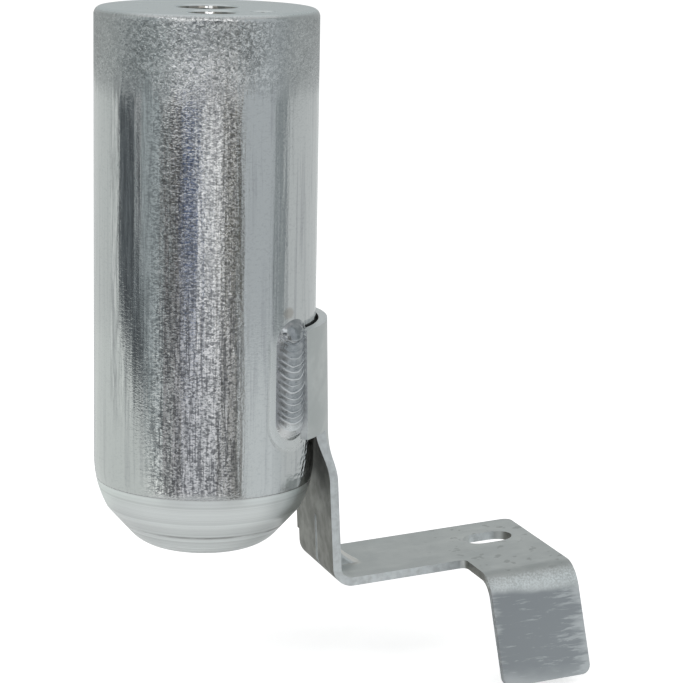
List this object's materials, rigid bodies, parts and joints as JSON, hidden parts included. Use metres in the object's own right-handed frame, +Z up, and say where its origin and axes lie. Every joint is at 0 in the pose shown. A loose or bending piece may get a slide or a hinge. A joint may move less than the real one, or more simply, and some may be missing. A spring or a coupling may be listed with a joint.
{
  "type": "ac accumulator",
  "caption": "Closed aluminium can with inlet and outlet ports and a tapped hole in its head, and a folded sheet bracket with a slotted arm welded to its side.",
  "frame": {"origin": "middle of the outlet port, in the plane of the head's flat face", "axes": "+Z up along the can's axis, out of the ports; +Y from the can's axis towards the bracket's arm; +X the side on which the arm's leg and flap stand"},
  "size_m": [0.0921, 0.163, 0.2304],
  "materials": {
    "can_aluminium": "bare, satin with lengthwise drawing marks",
    "bracket_aluminium": "bare mill-finish sheet, slightly smudged",
    "weld_aluminium": "bare, rippled and bright",
    "tube_aluminium": "bare, drawn",
    "filter_plastic": "natural nylon",
    "screen_mesh": "fine woven mesh",
    "bag_felt": "needled felt",
    "tie_plastic": "natural nylon"
  },
  "bodies": {
    "root": {"canister": "can_aluminium", "bracket": "bracket_aluminium", "weld_bead_near": "weld_aluminium", "weld_bead_far": "weld_aluminium", "outlet_tube": "tube_aluminium", "inlet_deflector": "tube_aluminium", "oil_filter_cage": "filter_plastic", "oil_filter_screen": "screen_mesh", "desiccant_bag": "bag_felt", "bag_tie": "tie_plastic"}
  },
  "joints": []
}
